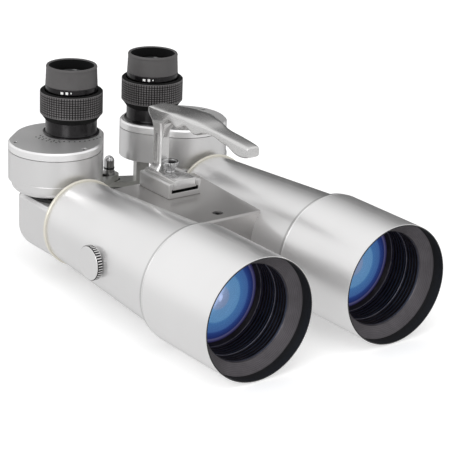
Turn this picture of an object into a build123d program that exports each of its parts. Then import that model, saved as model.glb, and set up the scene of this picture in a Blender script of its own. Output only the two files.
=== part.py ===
from build123d import *

import os
from math import copysign, cos, radians, sin, sqrt, tan

# Giant astronomy binoculars with 70 mm objectives, elbow prisms and upright eyepieces.
#
# Frame: millimetres, +Z up. The objectives look along -Y and the observer stands at +Y, so the
# observer's right-hand tube is the one at -X. The origin is the mouth of the tripod thread, at the
# centre of the foot's flat underside.

os.makedirs("parts", exist_ok=True)

# ---- Driving dimensions ------------------------------------------------------------------------

axis_x = 62.0              # half the distance between the two optical tubes
axis_z = 43.0              # height of the tube axes above the foot
rim_y = -165.0             # front rim of the dew shields

lens_r = 36.5              # objective blank; 70 mm of it stays clear
tube_front_y = rim_y + 50.0
tube_taper_y = rim_y + 84.0
tube_rear_y = rim_y + 227.0
tube_front_r = 41.8
tube_rear_r = 33.3
tube_wall = 3.2

shield_r = 46.0
shield_wall = 1.1
shield_length = 82.3
shield_ring_y = rim_y + 10.0

bridge_front_y = rim_y + 123.0
bridge_rear_y = rim_y + 222.0
bridge_top_z = axis_z + 25.0
bridge_bottom_z = axis_z - 16.0

elbow_front_y = rim_y + 229.3
elbow_rear_y = rim_y + 286.0
elbow_half = 29.0
elbow_top_z = axis_z + 14.8
elbow_bottom_z = axis_z - 30.0
elbow_wall = 3.0

pivot_y = rim_y + 258.0    # vertical axis that each upper prism housing swings about
eyepiece_dx = 23.4         # eyepiece axis from the pivot, towards the middle
eyepiece_dy = 24.7         # and towards the observer
housing_bottom_z = axis_z + 17.5
nose_bottom_z = axis_z + 25.0
housing_seam_z = axis_z + 48.6
housing_top_z = axis_z + 55.2
housing_wall = 2.6
seam_gap = 0.6

post_y = rim_y + 285.8     # lock post between the housings
knob_r = 4.2

shoe_front_y = rim_y + 179.0
shoe_rear_y = rim_y + 219.5
shoe_half = 15.0
shoe_top_z = axis_z + 37.5
handle_foot_top_z = axis_z + 39.0

cap_y = rim_y + 152.0      # side caps over the fork-mount threads
cap_r = 13.3

tripod_thread_r = 3.97     # tapping size of a 3/8 inch 16 UNC thread
tripod_thread_depth = 14.0

# ---- Reference planes and axes of the right-hand half -------------------------------------------

eye_x = -axis_x + eyepiece_dx
eye_y = pivot_y + eyepiece_dy
tube_plane = Plane(origin=(-axis_x, 0, axis_z), x_dir=(0, 1, 0), z_dir=(1, 0, 0))
tube_line = Axis((-axis_x, 0, axis_z), (0, 1, 0))
eye_plane = Plane(origin=(eye_x, eye_y, 0), x_dir=(1, 0, 0), z_dir=(0, -1, 0))
eye_line = Axis((eye_x, eye_y, 0), (0, 0, 1))
pivot_plane = Plane(origin=(-axis_x, pivot_y, 0), x_dir=(1, 0, 0), z_dir=(0, -1, 0))
pivot_line = Axis((-axis_x, pivot_y, 0), (0, 0, 1))
post_plane = Plane(origin=(0, post_y, 0), x_dir=(1, 0, 0), z_dir=(0, -1, 0))
post_line = Axis((0, post_y, 0), (0, 0, 1))


# ---- Helpers -----------------------------------------------------------------------------------

def save(part, label):
    """Label a finished piece and write it."""
    part.label = label
    export_step(part, f"parts/{label}.step")


def save_pair(part, label):
    """Write the observer's right-hand piece and its mirror image on the left."""
    save(part, f"{label}_right")
    save(mirror(part, about=Plane.YZ), f"{label}_left")


def turned(plane, line, outline):
    """A ring or tube turned from a closed outline about its axis."""
    with BuildPart() as ring:
        with BuildSketch(plane):
            with BuildLine():
                Polyline(*outline, close=True)
            make_face()
        revolve(axis=line)
    return ring.part


def tube_radius(y):
    """Outer radius of the tapered optical tube at a station along it."""
    share = (y - tube_taper_y) / (tube_rear_y - tube_taper_y)
    return tube_front_r + (tube_rear_r - tube_front_r) * max(0.0, share)


def dome(apex, edge, radius):
    """Three (along, radius) points of a spherical surface, from its apex on the axis to its rim."""
    sag = edge - apex
    curvature = (radius ** 2 + sag ** 2) / (2 * abs(sag))
    middle = curvature - sqrt(curvature ** 2 - radius ** 2 / 4)
    return (apex, 0), (apex + copysign(middle, sag), radius / 2), (edge, radius)


# ---- Optical tube ------------------------------------------------------------------------------

boss_face_x = -axis_x - tube_radius(cap_y) - 0.4
with BuildPart() as tube:
    with BuildSketch(tube_plane):
        with BuildLine():
            Polyline(
                (tube_front_y, tube_front_r - 1.0),
                (tube_front_y + 1.0, tube_front_r),
                (tube_taper_y, tube_front_r),
                (tube_rear_y, tube_rear_r),
                (tube_rear_y, tube_rear_r - tube_wall),
                (tube_taper_y, tube_front_r - tube_wall),
                (tube_front_y, tube_front_r - tube_wall),
                close=True,
            )
        make_face()
    revolve(axis=tube_line)
    # Round boss with the fork-mount thread, flush with the skin
    with BuildSketch(Plane(origin=(boss_face_x, cap_y, axis_z), x_dir=(0, 1, 0), z_dir=(1, 0, 0))):
        Circle(cap_r - 2.5)
    extrude(amount=8.0)
    with BuildSketch(Plane(origin=(boss_face_x, cap_y, axis_z), x_dir=(0, 1, 0), z_dir=(1, 0, 0))):
        Circle(4.2)
    extrude(amount=7.0, mode=Mode.SUBTRACT)
save_pair(tube.part, "tube")

# ---- Dew shield: sleeve, front ring, ribbed baffle, felt guide ------------------------------------

shield_rear_y = rim_y + shield_length
sleeve_inner_r = shield_r - shield_wall
with BuildPart() as dew_shield:
    with BuildSketch(tube_plane):
        with BuildLine():
            Polyline(
                (rim_y, sleeve_inner_r + 0.3),
                (rim_y + 0.4, shield_r),
                (shield_rear_y - 5.2, shield_r),
                (shield_rear_y - 4.8, shield_r - 0.5),
                (shield_rear_y - 4.2, shield_r - 0.2),
                (shield_rear_y - 1.2, shield_r - 0.6),
                (shield_rear_y, shield_r - 1.8),
                (shield_rear_y, tube_front_r + 0.7),
                (shield_rear_y - 2.4, tube_front_r + 0.7),
                (shield_rear_y - 2.4, sleeve_inner_r),
                (rim_y, sleeve_inner_r),
                close=True,
            )
        make_face()
    revolve(axis=tube_line)
save_pair(dew_shield.part, "dew_shield")

ring_rear_y = rim_y + 15.8
ring_inner_r = 36.0
save_pair(
    turned(
        tube_plane,
        tube_line,
        [
            (shield_ring_y, sleeve_inner_r),
            (ring_rear_y - 0.8, ring_inner_r + 0.6),
            (ring_rear_y, ring_inner_r),
            (ring_rear_y + 1.6, ring_inner_r),
            (ring_rear_y + 1.6, ring_inner_r + 3.4),
            (ring_rear_y, sleeve_inner_r),
        ],
    ),
    "shield_front_ring",
)

# The baffle starts behind the front ring and carries stepped light-trapping ribs
baffle_front_y = ring_rear_y + 1.6
baffle_rear_y = rim_y + 46.5
baffle_r = 39.4
rib_count = 9
rib_pitch = (baffle_rear_y - baffle_front_y - 1.5) / rib_count
baffle_outline = [(baffle_front_y, baffle_r), (baffle_front_y, baffle_r - 2.6)]
for rib in range(rib_count):
    rib_y = baffle_front_y + rib * rib_pitch
    baffle_outline += [(rib_y + 0.25 * rib_pitch, baffle_r - 2.6), (rib_y + rib_pitch, baffle_r - 1.4)]
    baffle_outline += [(rib_y + rib_pitch, baffle_r - 2.6)]
baffle_outline += [(baffle_rear_y, baffle_r - 2.6), (baffle_rear_y, baffle_r)]
save_pair(turned(tube_plane, tube_line, baffle_outline), "shield_baffle")

felt_front_y = shield_rear_y - 10.4
save_pair(
    turned(
        tube_plane,
        tube_line,
        [
            (felt_front_y, tube_front_r + 0.05),
            (felt_front_y, sleeve_inner_r),
            (felt_front_y + 8.0, sleeve_inner_r),
            (felt_front_y + 8.0, tube_front_r + 0.05),
        ],
    ),
    "shield_felt",
)

# ---- Objective: cell, retaining ring, crown and flint lenses ---------------------------------------

cell_front_y = rim_y + 50.4
cell_r = tube_front_r - tube_wall
seat_y = cell_front_y + 14.6
save_pair(
    turned(
        tube_plane,
        tube_line,
        [
            (cell_front_y, lens_r),
            (cell_front_y, cell_r),
            (seat_y + 3.0, cell_r),
            (seat_y + 3.0, 34.0),
            (seat_y, 34.0),
            (seat_y, lens_r),
        ],
    ),
    "objective_cell",
)

save_pair(
    turned(
        tube_plane,
        tube_line,
        [
            (cell_front_y - 2.4, 36.6),
            (cell_front_y - 2.4, cell_r - 0.4),
            (cell_front_y, cell_r - 0.4),
            (cell_front_y, lens_r),
            (cell_front_y + 0.9, lens_r),
            (cell_front_y + 0.9, 35.0),
            (cell_front_y + 0.3, 35.0),
        ],
    ),
    "objective_retainer",
)

crown_edge_y = cell_front_y + 1.4
crown_bulge = 4.2
crown_rim = 3.6
joint_sag = 3.8            # depth of the curved faces between crown and flint
cement_gap = 0.4
with BuildPart() as crown:
    with BuildSketch(tube_plane):
        with BuildLine():
            ThreePointArc(*dome(crown_edge_y - crown_bulge, crown_edge_y, lens_r))
            Line((crown_edge_y, lens_r), (crown_edge_y + crown_rim, lens_r))
            ThreePointArc(*dome(crown_edge_y + crown_rim + joint_sag, crown_edge_y + crown_rim, lens_r))
            Line((crown_edge_y + crown_rim + joint_sag, 0), (crown_edge_y - crown_bulge, 0))
        make_face()
    revolve(axis=tube_line)
save_pair(crown.part, "objective_crown")

flint_edge_y = crown_edge_y + crown_rim + cement_gap
with BuildPart() as flint:
    with BuildSketch(tube_plane):
        with BuildLine():
            ThreePointArc(*dome(flint_edge_y + joint_sag, flint_edge_y, lens_r))
            Line((flint_edge_y, lens_r), (seat_y, lens_r))
            Line((seat_y, lens_r), (seat_y, 0))
            Line((seat_y, 0), (flint_edge_y + joint_sag, 0))
        make_face()
    revolve(axis=tube_line)
save_pair(flint.part, "objective_flint")

# ---- Rear ring between tube and elbow housing ------------------------------------------------------

save_pair(
    turned(
        tube_plane,
        tube_line,
        [
            (tube_rear_y, 24.0),
            (tube_rear_y, tube_rear_r + 1.1),
            (tube_rear_y + 0.5, tube_rear_r + 1.6),
            (elbow_front_y - 0.6, tube_rear_r + 1.6),
            (elbow_front_y, tube_rear_r + 1.0),
            (elbow_front_y, 24.0),
        ],
    ),
    "rear_ring",
)

# ---- Elbow housing with its right-angle prism ------------------------------------------------------

elbow_mid_y = (elbow_front_y + elbow_rear_y) / 2
elbow_depth = elbow_rear_y - elbow_front_y
prism_half = 11.6
with BuildPart() as elbow:
    with BuildSketch(Plane.XY.offset(elbow_bottom_z)):
        with Locations((-axis_x, elbow_mid_y)):
            Rectangle(2 * elbow_half, elbow_depth)
    extrude(amount=elbow_top_z - elbow_bottom_z)
    fillet(elbow.edges().filter_by(Axis.Z).group_by(Axis.Y)[-1], radius=15.0)
    fillet(elbow.edges().filter_by(Axis.Y).group_by(Axis.Z)[0], radius=18.0)
    # Round the lower back corner, as on a casting wrapped round the prism
    with BuildSketch(Plane.YZ.offset(-axis_x - elbow_half - 1)):
        with BuildLine():
            back = elbow_rear_y + 1
            low = elbow_bottom_z - 1
            Line((back, low), (back, low + 24))
            ThreePointArc((back, low + 24), (back - 6.5, low + 6.5), (back - 24, low))
            Line((back - 24, low), (back, low))
        make_face()
    extrude(amount=2 * elbow_half + 2, mode=Mode.SUBTRACT)
    chamfer(elbow.faces().sort_by(Axis.Z)[-1].edges().filter_by(Axis.Y), length=2.6)
    # Prism chamber, light path from the tube and light path up
    with BuildSketch(Plane.XY.offset(elbow_top_z - elbow_wall)):
        with Locations((-axis_x, pivot_y)):
            Rectangle(2 * prism_half + 4, 2 * prism_half + 4)
    extrude(amount=-2 * prism_half - 3, mode=Mode.SUBTRACT)
    with BuildSketch(Plane(origin=(-axis_x, elbow_front_y, axis_z), z_dir=(0, 1, 0))):
        Circle(prism_half + 1)
    extrude(amount=pivot_y - prism_half - elbow_front_y, mode=Mode.SUBTRACT)
    with BuildSketch(Plane.XY.offset(elbow_top_z)):
        with Locations((-axis_x, pivot_y)):
            Circle(prism_half)
    extrude(amount=-elbow_wall, mode=Mode.SUBTRACT)
save_pair(elbow.part, "elbow_housing")

with BuildPart() as elbow_prism:
    with BuildSketch(Plane.YZ.offset(-axis_x - prism_half)):
        with BuildLine():
            Polyline(
                (pivot_y - prism_half, axis_z - prism_half),
                (pivot_y - prism_half, axis_z + prism_half),
                (pivot_y + prism_half, axis_z + prism_half),
                close=True,
            )
        make_face()
    extrude(amount=2 * prism_half)
save_pair(elbow_prism.part, "elbow_prism")

# ---- Pivot sleeve that the upper housing swings on --------------------------------------------------

sleeve_r = 17.0
washer_top_z = housing_bottom_z - 0.3
floor_z = housing_bottom_z + housing_wall
save_pair(
    turned(
        pivot_plane,
        pivot_line,
        [
            (12.5, elbow_top_z),
            (26.0, elbow_top_z),
            (26.0, washer_top_z - 0.5),
            (25.5, washer_top_z),
            (sleeve_r, washer_top_z),
            (sleeve_r, floor_z + 0.2),
            (sleeve_r + 1.2, floor_z + 0.2),
            (sleeve_r + 1.2, floor_z + 1.1),
            (12.5, floor_z + 1.1),
        ],
    ),
    "pivot_sleeve",
)

# ---- Upper prism housing ---------------------------------------------------------------------------

drum_x = -axis_x + 1.0
drum_y = pivot_y + 12.5
drum_r = 36.6
rear_lobe = (-axis_x + 10.0, pivot_y + 23.0)
rear_lobe_r = 35.0
nose_r = 26.0
base_spot = (-axis_x - 1.5, pivot_y + 9.5)     # lower drum round the pivot, clear of the arm
base_r = 33.6


def housing_outline(inset=0.0):
    """Drum, rear lobe and eyepiece nose joined by their common tangents."""
    with BuildSketch() as outline:
        with Locations((drum_x, drum_y)):
            Circle(drum_r - inset)
        with Locations(rear_lobe):
            Circle(rear_lobe_r - inset)
        with Locations((eye_x, eye_y)):
            Circle(nose_r - inset)
        make_hull()
    return outline.sketch


outer_outline = housing_outline()
inner_outline = housing_outline(housing_wall)
lip_outer_outline = housing_outline(housing_wall + 0.05)
lip_inner_outline = housing_outline(housing_wall + 2.4)

with BuildPart() as prism_housing:
    # Lower drum round the pivot
    with BuildSketch(Plane.XY.offset(housing_bottom_z)):
        with Locations(base_spot):
            Circle(base_r)
    extrude(amount=nose_bottom_z + housing_wall - housing_bottom_z)
    fillet(prism_housing.faces().sort_by(Axis.Z)[0].edges(), radius=6.0)
    with BuildSketch(Plane.XY.offset(nose_bottom_z)):
        add(outer_outline)
    extrude(amount=housing_seam_z - nose_bottom_z)
    # Hollow for the rhomboid prism
    with BuildSketch(Plane.XY.offset(floor_z)):
        with Locations(base_spot):
            Circle(base_r - housing_wall)
    extrude(amount=nose_bottom_z + housing_wall - floor_z, mode=Mode.SUBTRACT)
    with BuildSketch(Plane.XY.offset(nose_bottom_z + housing_wall)):
        add(inner_outline)
    extrude(amount=housing_seam_z - nose_bottom_z - housing_wall, mode=Mode.SUBTRACT)
    with BuildSketch(Plane.XY.offset(housing_bottom_z)):
        with Locations((-axis_x, pivot_y)):
            Circle(sleeve_r + 0.06)
    extrude(amount=housing_wall, mode=Mode.SUBTRACT)
save_pair(prism_housing.part, "prism_housing")

screw_spots = [
    (drum_x - 29.0, drum_y + 11.5),
    (drum_x + 7.6, drum_y - 30.5),
    (rear_lobe[0] + 19.0, rear_lobe[1] + 23.5),
]
with BuildPart() as cover:
    with BuildSketch(Plane.XY.offset(housing_seam_z + seam_gap)):
        add(outer_outline)
    extrude(amount=housing_top_z - housing_seam_z - seam_gap)
    chamfer(cover.faces().sort_by(Axis.Z)[-1].edges(), length=1.3)
    # Locating lip that closes the seam from inside
    with BuildSketch(Plane.XY.offset(housing_seam_z - 2.0)):
        add(lip_outer_outline)
        add(lip_inner_outline, mode=Mode.SUBTRACT)
    extrude(amount=2.0 + seam_gap)
    with BuildSketch(Plane.XY.offset(housing_seam_z - 2.0)):
        with Locations((eye_x, eye_y)):
            Circle(17.4)
    extrude(amount=housing_top_z - housing_seam_z + 2.0, mode=Mode.SUBTRACT)
    with BuildSketch(Plane.XY.offset(housing_top_z)):
        with Locations(*screw_spots):
            Circle(2.3)
    extrude(amount=-2.2, mode=Mode.SUBTRACT)
save_pair(cover.part, "housing_cover")

with BuildPart() as cover_screws:
    with BuildSketch(Plane.XY.offset(housing_top_z - 2.2)):
        with Locations(*screw_spots):
            Circle(2.1)
    extrude(amount=1.7)
    with BuildSketch(Plane.XY.offset(housing_top_z - 0.5)):
        with Locations(*screw_spots):
            RegularPolygon(1.2, 6)
    extrude(amount=-1.1, mode=Mode.SUBTRACT)
save_pair(cover_screws.part, "cover_screws")

# Rhomboid prism that carries the beam from the pivot axis to the eyepiece axis
shift = (eyepiece_dx ** 2 + eyepiece_dy ** 2) ** 0.5
rhomboid_bottom_z = floor_z + 2.3
rhomboid_half = 8.6
along = Vector(eyepiece_dx / shift, eyepiece_dy / shift, 0)
rhomboid_plane = Plane(origin=(-axis_x, pivot_y, 0), x_dir=along, z_dir=along.cross(Vector(0, 0, 1)))
with BuildPart() as rhomboid:
    with BuildSketch(rhomboid_plane):
        with BuildLine():
            Polyline(
                (-rhomboid_half, rhomboid_bottom_z),
                (shift - rhomboid_half, rhomboid_bottom_z),
                (shift + rhomboid_half, rhomboid_bottom_z + 2 * rhomboid_half),
                (rhomboid_half, rhomboid_bottom_z + 2 * rhomboid_half),
                close=True,
            )
        make_face()
    extrude(amount=rhomboid_half, both=True)
save_pair(rhomboid.part, "rhomboid_prism")

# ---- Slotted arms, guide bar and lock post between the housings ----------------------------------------

arm_angle = 24.15          # from the pivot to the lock post, above the X direction
arm_levels = {"right": (axis_z + 8.2, axis_z + 12.8), "left": (axis_z + 3.3, axis_z + 7.9)}
arm_end = 76.2
web_inner, web_outer = 36.3, 46.6
slot_half_width = 3.6
slot_inner, slot_outer = 58.6, 72.5


def slotted_arm(low_z, top_z):
    """A block under the eyepiece nose with a slotted tongue that reaches over the middle."""
    direction = Vector(cos(radians(arm_angle)), sin(radians(arm_angle)), 0)
    arm_plane = Plane(origin=(-axis_x, pivot_y, low_z), x_dir=direction, z_dir=(0, 0, 1))
    with BuildPart() as arm:
        with BuildSketch(arm_plane):
            with Locations(((web_inner + arm_end - 7.5) / 2, 0)):
                Rectangle(arm_end - 7.5 - web_inner, 15)
            with Locations((arm_end - 7.5, 0)):
                Circle(7.5)
        extrude(amount=top_z - low_z)
        with BuildSketch(arm_plane):
            with Locations(((web_inner + web_outer) / 2, 0)):
                Rectangle(web_outer - web_inner, 15)
        extrude(amount=nose_bottom_z - low_z)
        with BuildSketch(arm_plane):
            with Locations(((slot_inner + slot_outer) / 2, 0)):
                SlotOverall(slot_outer - slot_inner, 2 * slot_half_width)
        extrude(amount=top_z - low_z, mode=Mode.SUBTRACT)
    return arm.part


save(slotted_arm(*arm_levels["right"]), "ipd_arm_right")
save(mirror(slotted_arm(*arm_levels["left"]), about=Plane.YZ), "ipd_arm_left")

bar_half = 9.5
bar_low_z = axis_z - 3.0
bar_top_z = axis_z + 3.0
bar_rear_y = post_y + 11.5
post_travel = axis_x * (tan(radians(arm_angle)) - tan(radians(arm_angle - 26.0)))
with BuildPart() as guide_bar:
    with BuildSketch(Plane.XY.offset(bar_low_z)):
        with Locations((0, (bridge_rear_y + bar_rear_y - bar_half) / 2)):
            Rectangle(2 * bar_half, bar_rear_y - bar_half - bridge_rear_y)
        with Locations((0, bar_rear_y - bar_half)):
            Circle(bar_half)
    extrude(amount=bar_top_z - bar_low_z)
    with BuildSketch(Plane.XY.offset(bar_low_z)):
        with Locations((0, post_y + 1.5 - post_travel / 2)):
            SlotOverall(post_travel + 3.0 + 5.2, 5.2, rotation=90)
    extrude(amount=bar_top_z - bar_low_z, mode=Mode.SUBTRACT)
save(guide_bar.part, "guide_bar")

washer_z = arm_levels["right"][1] + 0.2
save(
    turned(
        post_plane,
        post_line,
        [
            (0, bar_low_z - 3.2),
            (5.4, bar_low_z - 3.2),
            (5.4, bar_low_z - 0.1),
            (2.5, bar_low_z - 0.1),
            (2.5, washer_z),
            (knob_r + 0.5, washer_z),
            (knob_r + 0.5, washer_z + 2.4),
            (2.5, washer_z + 2.4),
            (2.5, washer_z + 9.0),
            (0, washer_z + 9.0),
        ],
    ),
    "lock_post",
)

knob_low_z = washer_z + 2.5
knob_waist_z = knob_low_z + 8.4
knob_bore_z = knob_low_z + 7.2
with BuildPart() as lock_knob:
    with BuildSketch(post_plane):
        with BuildLine():
            Polyline(
                (2.56, knob_low_z),
                (knob_r, knob_low_z),
                (knob_r, knob_low_z + 2.0),
                (knob_r - 0.5, knob_low_z + 2.5),
                (knob_r, knob_low_z + 3.0),
                (knob_r, knob_waist_z),
            )
            CenterArc((0, knob_waist_z), knob_r, 0, 90)
            Polyline((0, knob_waist_z + knob_r), (0, knob_bore_z), (2.56, knob_bore_z), (2.56, knob_low_z))
        make_face()
    revolve(axis=post_line)
save(lock_knob.part, "lock_knob")

# ---- Helical focuser and eyepiece ---------------------------------------------------------------------

ring_low_z = axis_z + 67.0
ring_top_z = axis_z + 90.2
focus_r = 24.9
barrel_r = 20.5
save_pair(
    turned(
        eye_plane,
        eye_line,
        [
            (17.3, housing_seam_z - 2.0),
            (17.3, housing_top_z),
            (22.5, housing_top_z),
            (22.5, housing_top_z + 1.0),
            (21.6, housing_top_z + 1.5),
            (barrel_r + 0.2, housing_top_z + 1.5),
            (barrel_r, housing_top_z + 2.4),
            (barrel_r, ring_low_z - 0.3),
            (18.6, ring_low_z - 0.3),
            (18.6, ring_top_z - 6.0),
            (16.7, ring_top_z - 6.0),
            (16.7, housing_seam_z - 2.0),
        ],
    ),
    "focuser_base",
)

grip_low_z = axis_z + 72.0
groove_count = 72
band_count = 9
with BuildPart() as focus_ring:
    with BuildSketch(eye_plane):
        with BuildLine():
            Polyline(
                (18.7, ring_low_z),
                (barrel_r + 0.6, ring_low_z),
                (focus_r - 0.8, grip_low_z - 0.8),
                (focus_r, grip_low_z),
                (focus_r, ring_top_z - 0.8),
                (focus_r - 0.8, ring_top_z),
                (21.4, ring_top_z),
                (21.4, ring_top_z - 5.6),
                (18.7, ring_top_z - 5.6),
                close=True,
            )
        make_face()
    revolve(axis=eye_line)
    # Square grid of the rubber grip: upright grooves, then rings
    with BuildSketch(Plane.XY.offset(grip_low_z + 0.4)):
        with Locations((eye_x, eye_y)):
            with PolarLocations(focus_r, groove_count):
                Rectangle(1.1, 0.7)
    extrude(amount=ring_top_z - grip_low_z - 1.4, mode=Mode.SUBTRACT)
    band_pitch = (ring_top_z - grip_low_z - 1.4) / band_count
    for band in range(1, band_count):
        with BuildSketch(eye_plane):
            with Locations((focus_r, grip_low_z + 0.4 + band * band_pitch)):
                Rectangle(1.1, 0.6)
        revolve(axis=eye_line, mode=Mode.SUBTRACT)
save_pair(focus_ring.part, "focus_ring")

label_low_z = axis_z + 90.7
cup_low_z = axis_z + 95.0
cup_top_z = axis_z + 110.6
save_pair(
    turned(
        eye_plane,
        eye_line,
        [
            (14.2, housing_top_z + 9.0),
            (16.6, housing_top_z + 9.0),
            (16.6, label_low_z),
            (20.4, label_low_z),
            (20.7, label_low_z + 0.4),
            (20.7, cup_low_z - 0.6),
            (20.3, cup_low_z - 0.2),
            (17.2, cup_low_z - 0.2),
            (17.2, cup_low_z + 6.5),
            (15.6, cup_low_z + 8.5),
            (12.0, cup_low_z + 8.5),
            (11.6, cup_low_z + 7.6),
            (14.2, cup_low_z + 4.0),
        ],
    ),
    "eyepiece_barrel",
)

eye_lens_z = cup_low_z + 5.2
eye_lens_bulge = 1.6
eye_dome = dome(eye_lens_z + 1.2 + eye_lens_bulge, eye_lens_z + 1.2, 11.4)
with BuildPart() as eye_lens:
    with BuildSketch(eye_plane):
        with BuildLine():
            Polyline(
                (0, eye_lens_z - 5.0),
                (13.0, eye_lens_z - 5.0),
                (13.0, eye_lens_z - 0.6),
                (11.4, eye_lens_z + 1.2),
            )
            ThreePointArc(*[(r, z) for z, r in eye_dome])
            Line((0, eye_lens_z + 1.2 + eye_lens_bulge), (0, eye_lens_z - 5.0))
        make_face()
    revolve(axis=eye_line)
save_pair(eye_lens.part, "eye_lens")

save_pair(
    turned(
        eye_plane,
        eye_line,
        [
            (17.5, cup_low_z),
            (20.5, cup_low_z),
            (20.6, cup_low_z + 0.8),
            (20.0, cup_top_z - 2.6),
            (20.2, cup_top_z - 1.2),
            (19.7, cup_top_z - 0.2),
            (19.2, cup_top_z),
            (18.3, cup_top_z),
            (17.7, cup_top_z - 0.9),
            (17.5, cup_top_z - 2.4),
        ],
    ),
    "eyecup",
)

# ---- Bridge, foot and screws ------------------------------------------------------------------------

with BuildPart() as bridge:
    with BuildSketch(Plane.XY.offset(bridge_bottom_z)):
        with Locations((0, (bridge_front_y + bridge_rear_y) / 2)):
            Rectangle(84, bridge_rear_y - bridge_front_y)
    extrude(amount=bridge_top_z - bridge_bottom_z)
    chamfer(bridge.faces().sort_by(Axis.Z)[-1].edges().group_by(Axis.Y)[0], length=1.4)
    for side in (-1, 1):
        side_plane = Plane(origin=(side * axis_x, 0, axis_z), x_dir=(0, 1, 0), z_dir=(1, 0, 0))
        with BuildSketch(side_plane):
            with BuildLine():
                Polyline(
                    (tube_taper_y, 0),
                    (tube_taper_y, tube_front_r),
                    (tube_rear_y, tube_rear_r),
                    (tube_rear_y, 0),
                    close=True,
                )
            make_face()
        revolve(axis=Axis((side * axis_x, 0, axis_z), (0, 1, 0)), mode=Mode.SUBTRACT)
    # Counterbored screw in the deck, ahead of the handle shoe
    with Locations(Plane.XY.offset(bridge_top_z)):
        with Locations((0, bridge_front_y + 13)):
            CounterBoreHole(radius=2.1, counter_bore_radius=4.2, counter_bore_depth=4.6, depth=16)
save(bridge.part, "bridge")

foot_half_x = 15.0
foot_half_y = 24.0
with BuildPart() as tripod_foot:
    with BuildSketch(Plane.XY):
        RectangleRounded(2 * foot_half_x + 8, 2 * foot_half_y + 8, radius=6)
    extrude(amount=6)
    with BuildSketch(Plane.XY.offset(6)):
        RectangleRounded(2 * foot_half_x, 2 * foot_half_y, radius=4)
    extrude(amount=bridge_bottom_z - 6)
    with BuildSketch(Plane.XY):
        Circle(tripod_thread_r)
    extrude(amount=tripod_thread_depth, mode=Mode.SUBTRACT)
    with BuildSketch(Plane.XY):
        with Locations((0, -17), (0, 17)):
            Circle(4.0)
    extrude(amount=5.0, mode=Mode.SUBTRACT)
save(tripod_foot.part, "tripod_foot")

with BuildPart() as deck_screws:
    with BuildSketch(Plane.XY.offset(bridge_top_z - 4.6)):
        with Locations((0, bridge_front_y + 13)):
            Circle(3.8)
    extrude(amount=3.8)
    with BuildSketch(Plane.XY.offset(bridge_top_z - 4.6)):
        with Locations((0, bridge_front_y + 13)):
            Circle(2.0)
    extrude(amount=-11)
    with BuildSketch(Plane.XY.offset(bridge_top_z - 0.8)):
        with Locations((0, bridge_front_y + 13)):
            RegularPolygon(2.0, 6)
    extrude(amount=-2.2, mode=Mode.SUBTRACT)
    # Two more heads that hold the foot from below
    with BuildSketch(Plane.XY.offset(1.0)):
        with Locations((0, -17), (0, 17)):
            Circle(3.8)
    extrude(amount=4.0)
    with BuildSketch(Plane.XY.offset(1.0)):
        with Locations((0, -17), (0, 17)):
            RegularPolygon(2.0, 6)
    extrude(amount=2.2, mode=Mode.SUBTRACT)
save(deck_screws.part, "deck_screws")

# ---- Handle shoe, handle and thumb screw ----------------------------------------------------------------

shoe_length = shoe_rear_y - shoe_front_y
shoe_mid_y = (shoe_front_y + shoe_rear_y) / 2
channel_z = bridge_top_z + 4.4
neck_half = 10.4
tail_half = 12.2


def dovetail(length, mid_y, floor_z, neck_z, top_z, slack):
    """A bar of dovetail section lying along Y."""
    with BuildPart() as bar:
        with BuildSketch(Plane.XZ.offset(-(mid_y + length / 2))):
            with BuildLine():
                Polyline(
                    (-tail_half - slack, floor_z),
                    (tail_half + slack, floor_z),
                    (neck_half + slack, neck_z),
                    (neck_half + slack, top_z),
                    (-neck_half - slack, top_z),
                    (-neck_half - slack, neck_z),
                    close=True,
                )
            make_face()
        extrude(amount=length)
    return bar.part


dovetail_channel = dovetail(shoe_length + 2, shoe_mid_y, channel_z, channel_z + 4.5, shoe_top_z + 1, 0.15)
dovetail_bar = dovetail(shoe_length - 1, shoe_mid_y, channel_z + 0.2, channel_z + 4.5, handle_foot_top_z, 0.0)

with BuildPart() as handle_shoe:
    with BuildSketch(Plane.XY.offset(bridge_top_z)):
        with Locations((0, shoe_mid_y)):
            Rectangle(2 * shoe_half, shoe_length)
    extrude(amount=shoe_top_z - bridge_top_z)
    chamfer(handle_shoe.faces().sort_by(Axis.Z)[-1].edges().filter_by(Axis.Y), length=1.0)
    add(dovetail_channel, mode=Mode.SUBTRACT)
save(handle_shoe.part, "handle_shoe")

post_front_y = rim_y + 207.0
post_rear_y = rim_y + 217.5
grip_rear_y = rim_y + 220.0
grip_tip_y = rim_y + 95.5
grip_z = axis_z


def reach(distance, height):
    """A point of the handle's side view: distance behind the rim, height above the tube axes."""
    return (rim_y + distance, grip_z + height)


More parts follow.
